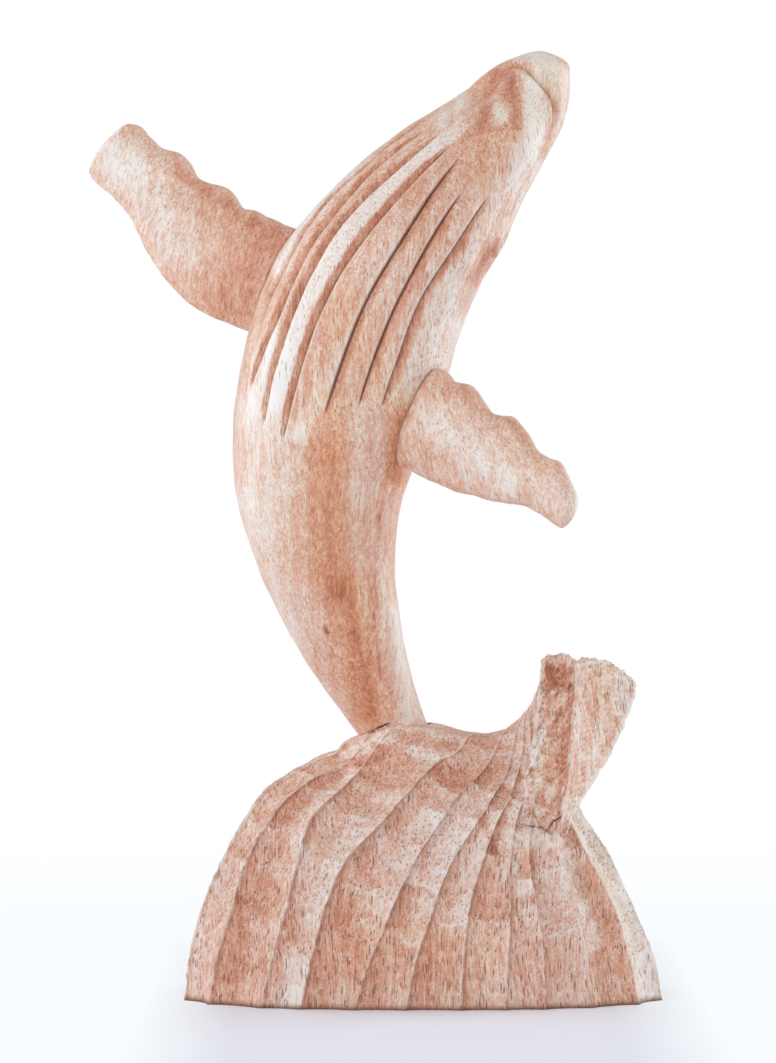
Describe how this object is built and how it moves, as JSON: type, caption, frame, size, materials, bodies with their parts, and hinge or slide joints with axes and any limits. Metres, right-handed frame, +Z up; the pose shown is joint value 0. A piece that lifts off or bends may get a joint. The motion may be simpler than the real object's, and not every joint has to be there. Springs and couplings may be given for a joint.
{
  "type": "whale figurine",
  "caption": "Carved wooden whale with grooved throat and outstretched flippers, leaping from a gouged wave with a curling crest.",
  "frame": {"origin": "middle of the flat underside of the wave", "axes": "+Z up from the underside to the snout; -Y is the front, which the whale's grooved throat faces; +X is to the right of someone who looks at the front, where the crest stands"},
  "size_m": [0.1831, 0.0964, 0.3],
  "materials": {
    "sanded_wood": "sanded and waxed, soft sheen",
    "carved_wood": "raw from the gouge, matte",
    "peg_wood": "raw turned peg"
  },
  "bodies": {
    "root": {"wave_base": "carved_wood", "whale_body": "sanded_wood", "left_flipper": "sanded_wood", "right_flipper": "sanded_wood", "left_flipper_peg": "peg_wood", "right_flipper_peg": "peg_wood", "tail_dowel": "peg_wood"}
  },
  "joints": []
}
